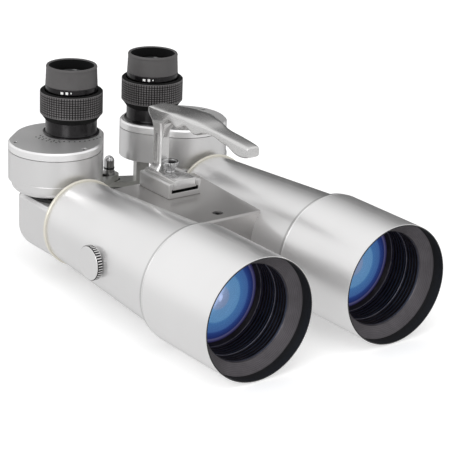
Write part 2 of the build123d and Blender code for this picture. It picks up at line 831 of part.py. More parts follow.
thumb_y = rim_y + 199.6
thumb_hole_r = 3.2
with BuildPart() as handle_frame:
    # Side view of the grip, with finger scallops below and a hooked nose
    with BuildSketch(Plane.YZ.offset(-15)):
        with BuildLine():
            Spline(
                reach(219.5, 83.5), reach(213, 88.8), reach(196, 91.6), reach(172, 94.0),
                reach(152, 93.6), reach(138, 91.0), reach(118, 90.0), reach(105, 88.8), reach(96.5, 85.0),
            )
            Spline(
                reach(96.5, 85.0), reach(98.5, 80.4), reach(106, 78.4), reach(112, 79.6), reach(118, 83.0),
                reach(126, 83.2), reach(138, 85.8), reach(150, 85.0), reach(158, 83.4), reach(168, 85.4),
                reach(180, 81.8), reach(192, 83.4), reach(201, 80.0), reach(207.0, 75.5),
            )
            Line(reach(207.0, 75.5), reach(217.5, 75.5))
            Spline(reach(217.5, 75.5), reach(219.8, 79.0), reach(219.5, 83.5))
        make_face()
    extrude(amount=30)
    # Plan view: broad palm swell behind, slim in front
    with BuildSketch(Plane.XY.offset(grip_z + 60)):
        for side in (-1, 1):
            with BuildLine():
                Line((0, grip_rear_y + 1), (side * 6.5, grip_rear_y + 1))
                Spline(
                    (side * 6.5, grip_rear_y + 1),
                    (side * 9.5, rim_y + 212),
                    (side * 12.2, rim_y + 190),
                    (side * 12.8, rim_y + 165),
                    (side * 10.0, rim_y + 147),
                    (side * 7.2, rim_y + 134),
                    (side * 6.9, rim_y + 116),
                    (side * 6.7, rim_y + 104),
                    (side * 5.6, rim_y + 97.0),
                    (0, grip_tip_y),
                )
                Line((0, grip_tip_y), (0, grip_rear_y + 1))
            make_face()
    extrude(amount=50, mode=Mode.INTERSECT)
    # Upright post with a recess down both flanks
    with BuildSketch(Plane.XY.offset(handle_foot_top_z)):
        with Locations((0, (post_front_y + post_rear_y) / 2)):
            Rectangle(9, post_rear_y - post_front_y)
    extrude(amount=grip_z + 77 - handle_foot_top_z)
    for side in (-1, 1):
        with BuildSketch(Plane.YZ.offset(side * 4.5)):
            with Locations(((post_front_y + post_rear_y) / 2, grip_z + 55.5)):
                SlotOverall(24, 4.4, rotation=90)
        extrude(amount=-side * 1.5, mode=Mode.SUBTRACT)
    # Flared foot on the dovetail bar
    with BuildSketch(Plane.XY.offset(handle_foot_top_z)):
        with Locations((0, (post_front_y + post_rear_y) / 2)):
            Rectangle(15, 12.4)
    with BuildSketch(Plane.XY.offset(handle_foot_top_z + 4.5)):
        with Locations((0, (post_front_y + post_rear_y) / 2)):
            Rectangle(9, post_rear_y - post_front_y)
    loft()
    add(dovetail_bar)
    with BuildSketch(Plane.XY.offset(handle_foot_top_z)):
        with Locations((0, thumb_y)):
            Circle(thumb_hole_r)
    extrude(amount=channel_z - handle_foot_top_z, mode=Mode.SUBTRACT)
save(handle_frame.part, "handle_frame")

thumb_low_z = handle_foot_top_z + 0.3
with BuildPart() as thumb_screw:
    with BuildSketch(Plane(origin=(0, thumb_y, 0), x_dir=(1, 0, 0), z_dir=(0, -1, 0))):
        with BuildLine():
            Polyline(
                (0, channel_z + 0.5),
                (thumb_hole_r - 0.08, channel_z + 0.5),
                (thumb_hole_r - 0.08, thumb_low_z),
                (3.6, thumb_low_z),
                (3.4, thumb_low_z + 1.4),
                (6.2, thumb_low_z + 6.4),
                (6.9, thumb_low_z + 7.4),
                (6.9, thumb_low_z + 8.2),
                (6.2, thumb_low_z + 8.8),
                (4.6, thumb_low_z + 8.8),
                (4.0, thumb_low_z + 7.6),
                (0, thumb_low_z + 7.2),
                close=True,
            )
        make_face()
    revolve(axis=Axis((0, thumb_y, 0), (0, 0, 1)))
    with BuildSketch(Plane.XY.offset(thumb_low_z + 5.4)):
        with Locations((0, thumb_y)):
            with PolarLocations(6.95, 22):
                Circle(0.45)
    extrude(amount=4.0, mode=Mode.SUBTRACT)
save(thumb_screw.part, "thumb_screw")

# ---- Knurled side caps ------------------------------------------------------------------------------

cap_face_x = boss_face_x - 4.9
with BuildPart() as side_cap:
    with BuildSketch(Plane(origin=(boss_face_x - 0.6, cap_y, axis_z), x_dir=(0, 1, 0), z_dir=(-1, 0, 0))):
        Circle(cap_r)
    extrude(amount=4.3)
    chamfer(side_cap.edges().filter_by(GeomType.CIRCLE).group_by(Axis.X)[0], length=0.8)
    with BuildSketch(Plane(origin=(cap_face_x, cap_y, axis_z), x_dir=(0, 1, 0), z_dir=(1, 0, 0))):
        with PolarLocations(cap_r + 0.35, 40):
            Circle(0.8)
    extrude(amount=4.4, mode=Mode.SUBTRACT)
    with BuildSketch(Plane(origin=(boss_face_x - 0.6, cap_y, axis_z), x_dir=(0, 1, 0), z_dir=(1, 0, 0))):
        Circle(4.1)
    extrude(amount=6.6)
save_pair(side_cap.part, "side_cap")
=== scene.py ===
from math import cos, pi, radians, sin

import bmesh
import bpy
from mathutils import Matrix, Vector


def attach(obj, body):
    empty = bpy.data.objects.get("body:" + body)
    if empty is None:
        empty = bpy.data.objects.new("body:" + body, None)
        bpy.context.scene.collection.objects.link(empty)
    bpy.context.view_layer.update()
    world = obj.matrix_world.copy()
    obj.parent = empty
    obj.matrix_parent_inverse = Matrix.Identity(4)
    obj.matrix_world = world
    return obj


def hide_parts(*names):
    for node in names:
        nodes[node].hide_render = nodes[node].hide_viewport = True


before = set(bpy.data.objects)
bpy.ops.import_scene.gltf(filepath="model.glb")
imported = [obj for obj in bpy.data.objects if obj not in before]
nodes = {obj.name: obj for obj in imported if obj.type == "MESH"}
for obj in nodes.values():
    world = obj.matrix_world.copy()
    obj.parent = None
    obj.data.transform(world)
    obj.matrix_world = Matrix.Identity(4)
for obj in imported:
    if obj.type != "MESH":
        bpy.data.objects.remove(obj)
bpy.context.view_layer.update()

MM = 0.001
AXIS_X = 62.0          # optical tubes, from the middle
AXIS_Z = 43.0          # height of the tube axes
RIM_Y = -165.0         # front rim of the dew shields
EYE_X = 38.6           # eyepiece axes, from the middle
EYE_Y = 117.7
COVER_TOP = AXIS_Z + 55.2
BORE_R = 45.7          # dew shield bore, with a little over
BORE_REAR_Y = RIM_Y + 60.0     # as far back as the bore is matte black
LENS_RAMP_R = 36.5       # the radius over which the lens colour ramp runs: coating colour, with a painted reflection in the middle
BARREL_BORE_R, GRIP_BORE_R, CUP_BORE_R = 17.4, 24.6, 17.8      # eyepiece bores, painted black inside
CAP_Y = RIM_Y + 152.0  # side cap axes
FOOT_TOP = AXIS_Z + 39.0       # top of the handle's dovetail bar
THUMB_Y = RIM_Y + 199.6        # thumb screw axis
LOCK_Y = RIM_Y + 285.8         # lock knob axis
SIDES = (("right", -1), ("left", 1))

# ---- Camera ----------------------------------------------------------------------------------------

camera_data = bpy.data.cameras.new("camera")
camera = bpy.data.objects.new("camera", camera_data)
bpy.context.scene.collection.objects.link(camera)
bpy.context.scene.camera = camera
azimuth, elevation, roll = -0.64737, 0.34990, 0.03777      # radians
back = Vector((sin(azimuth) * cos(elevation), -cos(azimuth) * cos(elevation), sin(elevation)))
right = Vector((cos(azimuth), sin(azimuth), 0))
up = back.cross(right)
right_rolled = right * cos(roll) + up * sin(roll)
up_rolled = up * cos(roll) - right * sin(roll)
turn = Matrix((right_rolled, up_rolled, back)).transposed().to_4x4()
camera.matrix_world = Matrix.Translation(Vector((-0.80504, -1.10348, 0.54840))) @ turn
camera_data.sensor_width = 36.0
camera_data.lens = 151.21
camera_data.clip_start = 0.05
camera_data.clip_end = 30.0
bpy.context.scene.view_settings.view_transform = "Standard"

# ---- Materials -------------------------------------------------------------------------------------


class Nodes:
    """A short way to write a node tree."""

    def __init__(self, name):
        self.material = bpy.data.materials.new(name)
        self.material.use_nodes = True
        self.tree = self.material.node_tree
        self.shader = self.tree.nodes["Principled BSDF"]

    def add(self, kind, **values):
        node = self.tree.nodes.new(kind)
        for key, value in values.items():
            setattr(node, key, value)
        return node

    def link(self, output, socket):
        self.tree.links.new(output, socket)

    def set(self, **values):
        for key, value in values.items():
            self.shader.inputs[key.replace("_", " ")].default_value = value
        return self

    def position(self):
        return self.add("ShaderNodeTexCoord").outputs["Object"]

    def noise(self, scale, detail=3.0, roughness=0.55, stretch=(1, 1, 1)):
        mapping = self.add("ShaderNodeMapping")
        mapping.inputs["Scale"].default_value = stretch
        self.link(self.position(), mapping.inputs["Vector"])
        noise = self.add("ShaderNodeTexNoise")
        noise.inputs["Scale"].default_value = scale
        noise.inputs["Detail"].default_value = detail
        noise.inputs["Roughness"].default_value = roughness
        self.link(mapping.outputs["Vector"], noise.inputs["Vector"])
        return noise.outputs["Fac"]

    def math(self, operation, a, b=None, c=None):
        node = self.add("ShaderNodeMath", operation=operation)
        for socket, value in zip(node.inputs, (a, b, c)):
            if value is None:
                continue
            if isinstance(value, (int, float)):
                socket.default_value = value
            else:
                self.link(value, socket)
        return node.outputs[0]

    def spread(self, value, low, high):
        """Maps 0.3..0.7 of a noise value to low..high."""
        node = self.add("ShaderNodeMapRange")
        node.inputs["From Min"].default_value = 0.3
        node.inputs["From Max"].default_value = 0.7
        node.inputs["To Min"].default_value = low
        node.inputs["To Max"].default_value = high
        self.link(value, node.inputs["Value"])
        return node.outputs["Result"]

    def ramp(self, value, stops):
        node = self.add("ShaderNodeValToRGB")
        elements = node.color_ramp.elements
        while len(elements) < len(stops):
            elements.new(0.5)
        for element, (place, colour) in zip(elements, stops):
            element.position = place
            element.color = (*colour, 1)
        self.link(value, node.inputs["Fac"])
        return node.outputs["Color"]

    def mix(self, factor, a, b):
        """Colour a where factor is 0, the plain colour b where it is 1."""
        node = self.add("ShaderNodeMix", data_type="RGBA")
        self.link(factor, node.inputs[0])
        self.link(a, node.inputs[6])
        node.inputs[7].default_value = (*b, 1)
        return node.outputs[2]

    def bump(self, value, strength, distance=0.0002):
        node = self.add("ShaderNodeBump")
        node.inputs["Strength"].default_value = strength
        node.inputs["Distance"].default_value = distance
        self.link(value, node.inputs["Height"])
        self.link(node.outputs["Normal"], self.shader.inputs["Normal"])

    def colour(self, output):
        self.link(output, self.shader.inputs["Base Color"])

    def rough(self, output):
        self.link(output, self.shader.inputs["Roughness"])

    def place(self):
        """X, Y and Z in the part's frame, in metres, as outputs of one node."""
        split = self.add("ShaderNodeSeparateXYZ")
        self.link(self.position(), split.inputs[0])
        return split.outputs

    def radius(self, centre, along):
        """Distance from an axis parallel to X, Y or Z (along) through centre, in metres."""
        place = self.place()
        first, second = {"X": "YZ", "Y": "XZ", "Z": "XY"}[along]
        u = self.math("SUBTRACT", place[first], centre[0])
        v = self.math("SUBTRACT", place[second], centre[1])
        square = self.math("ADD", self.math("MULTIPLY", u, u), self.math("MULTIPLY", v, v))
        return self.math("SQRT", square)


def paint(name, light, dark, metallic, roughness, flake=0.0, inside=None, shaded=None):
    """Satin metallic paint with a slow tone change, fine flake (its share of the tone) and orange peel.

    inside = (axis centre, radius, y limit) is for a tube about Y: its bore is matte black in front of
    the limit and dimmed behind it.
    shaded = a function of the node tree that returns a 0 to 1 mask of a place painted nearly black as shade.
    """
    m = Nodes(name)
    m.set(Coat_Roughness=0.18)
    tone = m.math("ADD", m.math("MULTIPLY", m.noise(14, 2), 1.0 - flake),
                  m.math("MULTIPLY", m.noise(2200, 1, 0.4), flake))
    tint = m.ramp(tone, [(0.3, dark), (0.7, light)])
    gloss = m.spread(m.noise(40, 2), roughness - 0.02, roughness + 0.02)
    if inside is None:
        m.set(Metallic=metallic, Coat_Weight=0.3)
    else:
        centre, reach, limit = inside
        within = m.math("LESS_THAN", m.radius(centre, "Y"), reach)
        front = m.math("LESS_THAN", m.place()["Y"], limit)
        bore = m.math("MULTIPLY", within, front)
        rear = m.math("MULTIPLY", within, m.math("MULTIPLY", m.math("SUBTRACT", 1.0, front), 0.35))
        tint = m.mix(bore, tint, (0.006, 0.006, 0.007))
        tint = m.mix(rear, tint, (0.12, 0.12, 0.12))
        gloss = m.math("ADD", gloss, m.math("MULTIPLY", bore, 0.25))
        m.link(m.math("MULTIPLY", m.math("SUBTRACT", 1.0, bore), metallic), m.shader.inputs["Metallic"])
    # Painted shade: the masked place is mixed to nearly black.
    if shaded:
        tint = m.mix(shaded(m), tint, (0.02, 0.02, 0.02))
    m.colour(tint)
    m.rough(gloss)
    m.bump(m.noise(350, 1), 0.002, 0.0001)
    return m.material


def painted_flute_shade(m):
    """The bottoms of the flutes round a side cap: a mask of painted shade, nearly black."""
    r = m.radius((CAP_Y * MM, AXIS_Z * MM), "X")
    return m.math("MULTIPLY", m.math("GREATER_THAN", r, 12.7 * MM), m.math("LESS_THAN", r, 13.22 * MM))


def painted_dovetail_shade(m):
    """The lower half of the dovetail channel in the handle shoe: a mask of painted shade, nearly black."""
    place = m.place()
    low = m.math("LESS_THAN", place["Z"], (AXIS_Z + 32.3) * MM)
    high = m.math("GREATER_THAN", place["Z"], (AXIS_Z + 29.2) * MM)
    near = m.math("LESS_THAN", m.math("ABSOLUTE", place["X"]), 12.4 * MM)
    return m.math("MULTIPLY", near, m.math("MULTIPLY", low, high))


# Tones of one pale body paint: the housings, elbows and deck are darker copies, painted shade for the dim
# reflections they show, and the covers a lighter copy, painted light in place of a brighter top lamp.
pearl = paint("pearl_paint", (0.775, 0.77, 0.77), (0.745, 0.74, 0.74), 0.8, 0.31, flake=0.012)
housing_paint = paint("housing_paint", (0.72, 0.715, 0.715), (0.70, 0.695, 0.695), 0.80, 0.33)
cover_lit_tone = paint("cover_lit_tone", (0.86, 0.855, 0.855), (0.83, 0.825, 0.825), 0.78, 0.33)
deck_paint = paint("deck_paint", (0.385, 0.375, 0.37), (0.355, 0.345, 0.34), 0.8, 0.38)
handle_paint = paint("handle_paint", (0.66, 0.655, 0.65), (0.625, 0.62, 0.615), 0.85, 0.24, flake=0.012)
cap_paint = paint("cap_paint", (0.76, 0.755, 0.755), (0.74, 0.735, 0.735), 0.8, 0.3, shaded=painted_flute_shade)
shoe_paint = paint("shoe_paint", (0.58, 0.575, 0.57), (0.55, 0.545, 0.54), 0.82, 0.30, shaded=painted_dovetail_shade)
cream = paint("cream_paint", (0.66, 0.635, 0.56), (0.61, 0.585, 0.51), 0.3, 0.36, flake=0.024)


def turned_metal(
        name, base, lighter, roughness, centre=None, along="Y", pitch=0.0006, depth=0.25, metallic=1.0,
        bore=0.0, lines=0.0):
    """Machined metal with fine circular lines about its axis.

    bore = the radius inside which it is black; lines = half the strength of the lines in the tone.
    """
    m = Nodes(name)
    tint = m.ramp(m.noise(120, 3), [(0.3, base), (0.7, lighter)])
    if bore:
        inside = m.math("LESS_THAN", m.radius(centre, along), bore)
        tint = m.mix(inside, tint, (0.003, 0.003, 0.003))
        m.link(m.math("MULTIPLY", m.math("SUBTRACT", 1.0, inside), metallic), m.shader.inputs["Metallic"])
    else:
        m.set(Metallic=metallic)
    m.rough(m.spread(m.noise(260, 3), roughness - 0.06, roughness + 0.06))
    if centre is None:
        m.bump(m.noise(1500, 2), 0.1, 0.0001)
    else:
        wave = m.math("SINE", m.math("MULTIPLY", m.radius(centre, along), 2 * pi / pitch))
        groove = tuple(channel / 1.6 for channel in base)
        tint = m.mix(m.math("MULTIPLY_ADD", wave, lines, lines), tint, groove)
        m.bump(m.math("ADD", wave, m.math("MULTIPLY", m.noise(700, 2), 0.8)), depth, 0.0001)
    m.colour(tint)
    return m.material


def rubber(name, dark, light, roughness, scale=900, inside=None):
    """Matte rubber or felt. inside = (axis centre, radius) makes the bore of a vertical ring black."""
    m = Nodes(name)
    m.set(Specular_IOR_Level=0.3)
    tint = m.ramp(m.noise(45, 4), [(0.3, dark), (0.7, light)])
    gloss = m.spread(m.noise(150, 3), roughness - 0.07, roughness + 0.07)
    if inside:
        bore = m.math("LESS_THAN", m.radius(inside[0], "Z"), inside[1])
        tint = m.mix(bore, tint, (0.0015, 0.0015, 0.0015))
        gloss = m.math("ADD", gloss, bore)
    m.colour(tint)
    m.rough(gloss)
    m.bump(m.noise(scale, 3), 0.25, 0.00012)
    return m.material


black_metal = turned_metal("black_anodised", (0.013, 0.010, 0.011), (0.028, 0.022, 0.024), 0.42, metallic=0.4)
# Near black. On the pivot sleeve it is painted shade, for the dark gap between prism housing and elbow; it
# also colours the band round the lock knob.
shade_and_band_black = turned_metal("shade_and_band_black", (0.010, 0.010, 0.010), (0.018, 0.018, 0.018), 0.5, metallic=0.4)
felt = rubber("felt", (0.20, 0.20, 0.195), (0.27, 0.27, 0.265), 0.92, 2500)
arm_metal = turned_metal("arm_metal", (0.52, 0.52, 0.50), (0.60, 0.60, 0.58), 0.34)
steel = turned_metal("steel", (0.35, 0.35, 0.35), (0.45, 0.45, 0.45), 0.3)
# Nearly black deck screws: painted shade for the dark recess they sit in.
recess_shade_steel = turned_metal("recess_shade_steel", (0.05, 0.05, 0.05), (0.08, 0.08, 0.08), 0.4)
chrome = turned_metal("chrome", (0.42, 0.42, 0.43), (0.50, 0.50, 0.50), 0.14)


def prism_glass():
    m = Nodes("prism_glass")
    m.set(Transmission_Weight=1.0, IOR=1.52)
    m.colour(m.ramp(m.noise(30, 2), [(0.3, (0.86, 0.92, 0.93)), (0.7, (0.92, 0.96, 0.97))]))
    m.rough(m.spread(m.noise(80, 2), 0.02, 0.06))
    return m.material


prism = prism_glass()


def lens_ramp_with_painted_light(name, centre, radius, along="Y", painted_emission=0.5):
    """Multi-layer coating: deep blue outside, violet at the edge, and a pale blue middle that is a painted
    reflection. The ramp colour is also emitted as painted light.
    """
    m = Nodes(name)
    m.set(Metallic=0.85, Coat_Weight=0.35, Coat_Roughness=0.1, Coat_IOR=1.5)
    place = m.math("DIVIDE", m.radius(centre, along), radius)
    wobble = m.math("ADD", place, m.math("MULTIPLY", m.math("SUBTRACT", m.noise(26, 2), 0.5), 0.03))
    tint = m.ramp(wobble, [
        (0.0, (0.36, 0.43, 0.66)), (0.22, (0.30, 0.42, 0.68)), (0.26, (0.19, 0.41, 0.74)),
        (0.50, (0.17, 0.40, 0.74)), (0.54, (0.09, 0.25, 0.58)), (0.72, (0.08, 0.19, 0.50)),
        (0.76, (0.035, 0.08, 0.32)), (0.87, (0.02, 0.035, 0.18)), (0.90, (0.13, 0.13, 0.28)),
        (0.94, (0.05, 0.045, 0.15)), (1.0, (0.012, 0.010, 0.035)),
    ])
    m.colour(tint)
    # Painted light: the objective lens emits its own ramp colour; the eye lens gets none.
    m.link(tint, m.shader.inputs["Emission Color"])
    m.set(Emission_Strength=painted_emission)
    m.rough(m.spread(m.noise(60, 2), 0.12, 0.16))
    return m.material


def paint_node(name, material):
    """Gives a CAD node its material."""
    mesh = nodes[name].data
    mesh.materials.clear()
    mesh.materials.append(material)


for side, sign in SIDES:
    tube_centre = (sign * AXIS_X * MM, AXIS_Z * MM)
    eye_centre = (sign * EYE_X * MM, EYE_Y * MM)
    ring = turned_metal(
        f"grey_anodised_{side}", (0.082, 0.075, 0.083), (0.105, 0.097, 0.106), 0.42, tube_centre,
        pitch=0.0011, depth=0.5, metallic=0.6, lines=0.22)
    barrel = turned_metal(
        f"barrel_black_{side}", (0.010, 0.009, 0.010), (0.016, 0.015, 0.016), 0.2, eye_centre, "Z",
        pitch=0.0009, depth=0.03, metallic=0.55, bore=BARREL_BORE_R * MM)
    lens = lens_ramp_with_painted_light(f"lens_glass_painted_light_{side}", tube_centre, LENS_RAMP_R * MM)
    eye_glass = lens_ramp_with_painted_light(f"eye_glass_{side}", eye_centre, LENS_RAMP_R * MM, "Z", 0.0)
    sleeve_paint = paint(
        f"sleeve_paint_{side}", (0.81, 0.805, 0.805), (0.78, 0.775, 0.775), 0.82, 0.32, flake=0.012,
        inside=(tube_centre, BORE_R * MM, BORE_REAR_Y * MM))
    grip_rubber = rubber(
        f"grip_rubber_{side}", (0.075, 0.071, 0.072), (0.115, 0.11, 0.111), 0.45,
        inside=(eye_centre, GRIP_BORE_R * MM))
    cup_rubber = rubber(
        f"eyecup_rubber_{side}", (0.068, 0.065, 0.066), (0.086, 0.083, 0.083), 0.5, 1400,
        inside=(eye_centre, CUP_BORE_R * MM))
    looks = {
        "tube": pearl, "dew_shield": sleeve_paint, "shield_front_ring": ring, "shield_baffle": black_metal,
        "shield_felt": felt, "objective_cell": black_metal, "objective_retainer": black_metal,
        "objective_crown": lens, "objective_flint": prism, "rear_ring": cream,
        "elbow_housing": housing_paint, "elbow_prism": prism, "pivot_sleeve": shade_and_band_black,
        "prism_housing": housing_paint, "housing_cover": cover_lit_tone, "cover_screws": steel,
        "rhomboid_prism": prism, "ipd_arm": arm_metal, "focuser_base": barrel, "focus_ring": grip_rubber,
        "eyepiece_barrel": barrel, "eye_lens": eye_glass, "eyecup": cup_rubber, "side_cap": cap_paint,
    }
    for node, look in looks.items():
        paint_node(f"{node}_{side}", look)
for node, look in {
    "bridge": deck_paint, "tripod_foot": deck_paint, "deck_screws": recess_shade_steel, "guide_bar": arm_metal,
    "lock_post": steel, "lock_knob": chrome, "handle_shoe": handle_paint, "handle_frame": handle_paint,
    "thumb_screw": chrome,
}.items():
    paint_node(node, look)

# ---- Mesh helpers ----------------------------------------------------------------------------------


def piece(name, mesh, body, material, smooth=True):
    obj = bpy.data.objects.new(name, mesh)
    bpy.context.scene.collection.objects.link(obj)
    mesh.materials.append(material)
    if smooth:
        for polygon in mesh.polygons:
            polygon.use_smooth = True
    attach(obj, body)
    return obj


def mesh_from(name, points, faces):
    mesh = bpy.data.meshes.new(name)
    mesh.from_pydata([tuple(c * MM for c in p) for p in points], [], faces)
    bm = bmesh.new()
    bm.from_mesh(mesh)
    bmesh.ops.recalc_face_normals(bm, faces=bm.faces)
    bm.to_mesh(mesh)
    bm.free()
    return mesh


def lathe(name, outline, centre, along, count=96):
    """Turns a closed (along, radius) outline about an axis parallel to Y or Z."""
    points, faces = [], []
    n = len(outline)
    for step in range(count):
        a = 2 * pi * step / count
        for place, r in outline:
            if along == "Y":
                points.append((centre[0] + r * cos(a), place, centre[1] + r * sin(a)))
            else:
                points.append((centre[0] + r * cos(a), centre[1] + r * sin(a), place))
    for step in range(count):
        for i in range(n):
            j = (i + 1) % n
            s = (step + 1) % count
            faces.append((step * n + i, step * n + j, s * n + j, s * n + i))
    return mesh_from(name, points, faces)


def stack(name, rings):
    """A closed skin over rings of points, all with the same count, with flat ends."""
    count = len(rings[0])
    faces = []
    for level in range(len(rings) - 1):
        for k in range(count):
            k2 = (k + 1) % count
            low, high = level * count, (level + 1) * count
            faces.append((low + k, low + k2, high + k2, high + k))
    last = (len(rings) - 1) * count
    faces.append(tuple(range(count)))
    faces.append(tuple(range(last, last + count)))
    return mesh_from(name, [point for ring in rings for point in ring], faces)


def box_mesh(name, low, high):
    (x0, y0, z0), (x1, y1, z1) = low, high
    points = [(x, y, z) for x in (x0, x1) for y in (y0, y1) for z in (z0, z1)]
    faces = [(0, 1, 3, 2), (4, 6, 7, 5), (0, 4, 5, 1), (2, 3, 7, 6), (0, 2, 6, 4), (1, 5, 7, 3)]
    return mesh_from(name, points, faces)


def prism_mesh(name, outline, low, high, plane="XZ"):
    """A flat outline pushed out along the axis that it doesn't use."""
    def place(u, v, w):
        return {"XZ": (u, w, v), "YZ": (w, u, v), "XY": (u, v, w)}[plane]
    n = len(outline)
    points = [place(u, v, low) for u, v in outline] + [place(u, v, high) for u, v in outline]
    faces = [tuple(range(n)), tuple(range(n, 2 * n))]
    faces += [(i, (i + 1) % n, n + (i + 1) % n, n + i) for i in range(n)]
    return mesh_from(name, points, faces)


def finish_piece(obj, bevel=0.0, segments=2, subdivisions=0, cuts=()):
    """Cuts the given meshes out of a piece, rounds its edges and applies its modifiers."""
    cutters = []
    for mesh in cuts:
        cutter = bpy.data.objects.new("cutter", mesh)
        bpy.context.scene.collection.objects.link(cutter)
        cutters.append(cutter)
        modifier = obj.modifiers.new("cut", "BOOLEAN")
        modifier.object = cutter
        modifier.operation = "DIFFERENCE"
        modifier.solver = "EXACT"
    if bevel:
        modifier = obj.modifiers.new("bevel", "BEVEL")
        modifier.width = bevel * MM
        modifier.segments = segments
        modifier.limit_method = "ANGLE"
        modifier.angle_limit = radians(30)
    if subdivisions:
        modifier = obj.modifiers.new("smooth", "SUBSURF")
        modifier.levels = subdivisions
        modifier.render_levels = subdivisions
    bpy.context.view_layer.update()
    graph = bpy.context.evaluated_depsgraph_get()
    mesh = bpy.data.meshes.new_from_object(obj.evaluated_get(graph))
    obj.modifiers.clear()
    obj.data = mesh
    for polygon in mesh.polygons:
        polygon.use_smooth = True
    mesh.set_sharp_from_angle(angle=radians(38))
    for cutter in cutters:
        bpy.data.objects.remove(cutter)


def curve_value(points, x):
    """Smooth value through (x, value) points, by Catmull-Rom pieces."""
    xs = [p[0] for p in points]
    if x <= xs[0]:
        return points[0][1]
    if x >= xs[-1]:
        return points[-1][1]
    i = max(k for k in range(len(xs) - 1) if xs[k] <= x)
    p1, p2 = points[i], points[i + 1]
    p0 = points[i - 1] if i else p1
    p3 = points[i + 2] if i + 2 < len(points) else p2
    t = (x - p1[0]) / (p2[0] - p1[0])
    m1 = (p2[1] - p0[1]) / (p2[0] - p0[0]) * (p2[0] - p1[0])
    m2 = (p3[1] - p1[1]) / (p3[0] - p1[0]) * (p2[0] - p1[0])
    return ((2 * t ** 3 - 3 * t ** 2 + 1) * p1[1] + (t ** 3 - 2 * t ** 2 + t) * m1
            + (-2 * t ** 3 + 3 * t ** 2) * p2[1] + (t ** 3 - t ** 2) * m2)


# ---- Handle: sculpted grip, post, dovetail bar ------------------------------------------------------

# Stations behind the rim, with heights above the tube axes and half widths
grip_top = [(95.5, 87.4), (97, 88.2), (105, 89.2), (118, 90.0), (138, 91.2), (152, 93.4), (172, 94.0),
            (196, 91.8), (213, 90.0), (218, 89.4), (220, 88.6)]
grip_low = [(95.5, 80.6), (97, 79.8), (100, 79.0), (106, 78.6), (112, 79.8), (118, 82.6), (126, 83.4),
            (136, 86.0), (146, 86.0), (155, 81.8), (165, 86.6), (175.5, 80.6), (186, 85.6), (196, 80.0),
            (204, 78.4), (211, 77.2), (215, 79.6), (218.5, 82.0), (220, 83.6)]
grip_half = [(95.5, 5.4), (97.2, 6.0), (104, 6.6), (116, 6.9), (134, 7.2), (147, 10.0), (165, 12.7),
             (190, 12.1), (212, 9.6), (218, 8.6), (220, 7.8)]
GRIP_ENDS = (95.6, 219.8)
SIDE_POWER, TOP_POWER = 0.45, 0.36     # of the superellipse section: the smaller, the squarer


def signed_power(value, power):
    return abs(value) ** power * (1 if value >= 0 else -1)


def grip_rings(stations=64, around=32):
    """Superellipse sections through the three tables, with blunt ends."""
    rings = []
    for s in range(stations):
        share = 0.5 - 0.5 * cos(pi * s / (stations - 1))
        y = GRIP_ENDS[0] + (GRIP_ENDS[1] - GRIP_ENDS[0]) * share
        top, low, half = curve_value(grip_top, y), curve_value(grip_low, y), curve_value(grip_half, y)
        angles = [2 * pi * k / around for k in range(around)]
        rings.append([(
            half * signed_power(cos(a), SIDE_POWER), RIM_Y + y,
            AXIS_Z + (top + low) / 2 + (top - low) / 2 * signed_power(sin(a), TOP_POWER)) for a in angles])
    return rings


grip = piece("handle_grip", stack("handle_grip", grip_rings()), "handle", handle_paint)
finish_piece(grip, subdivisions=1)
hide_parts("handle_frame")

POST_FRONT, POST_REAR = RIM_Y + 207.0, RIM_Y + 217.5
POST_CORNER = 1.1

# Height over the foot, half width, and how far the post flares forwards
post_levels = [(0.0, 7.5, 1.0), (0.8, 7.3, 0.9), (3.6, 4.9, 0.2), (4.6, 4.5, 0.0), (28, 4.5, 0.0),
               (33, 4.7, 0.4), (37.6, 5.6, 1.2), (40, 6.0, 1.5)]


def post_rings():
    """Eight-cornered sections, flared at the foot and where the post meets the grip."""
    rings = []
    for height, half, flare in post_levels:
        y0, y1 = POST_FRONT - flare, POST_REAR + min(flare, 1.0)
        x_in, y_in, y_out = half - POST_CORNER, y0 + POST_CORNER, y1 - POST_CORNER
        corners = [(-x_in, y0), (x_in, y0), (half, y_in), (half, y_out), (x_in, y1), (-x_in, y1),
                   (-half, y_out), (-half, y_in)]
        rings.append([(x, y, FOOT_TOP + height) for x, y in corners])
    return rings


RECESS_R, RECESS_HALF_LENGTH, RECESS_Z = 2.9, 9.8, AXIS_Z + 55.5


def recess_mesh(sign):
    """A round-ended slot that is cut into one flank of the post."""
    middle = (POST_FRONT + POST_REAR) / 2
    outline = []
    for k in range(24):
        a = 2 * pi * k / 24
        lift = RECESS_HALF_LENGTH if sin(a) >= 0 else -RECESS_HALF_LENGTH
        outline.append((middle + RECESS_R * cos(a), RECESS_Z + lift + RECESS_R * sin(a)))
    return prism_mesh("recess", outline, *sorted((sign * 2.0, sign * 6.5)), "YZ")


post = piece("handle_post", stack("handle_post", post_rings()), "handle", handle_paint)
finish_piece(post, bevel=0.35, cuts=[recess_mesh(-1), recess_mesh(1)])

gusset_outline = [(POST_FRONT + 2, AXIS_Z + 62), (POST_FRONT + 2, AXIS_Z + 84), (RIM_Y + 192, AXIS_Z + 85.5),
                  (RIM_Y + 193, AXIS_Z + 82), (POST_FRONT - 3, AXIS_Z + 72), (POST_FRONT - 0.5, AXIS_Z + 66)]
gusset = piece(
    "handle_gusset", prism_mesh("handle_gusset", gusset_outline, -2.4, 2.4, "YZ"), "handle",
    handle_paint)
finish_piece(gusset, bevel=0.8, segments=3)

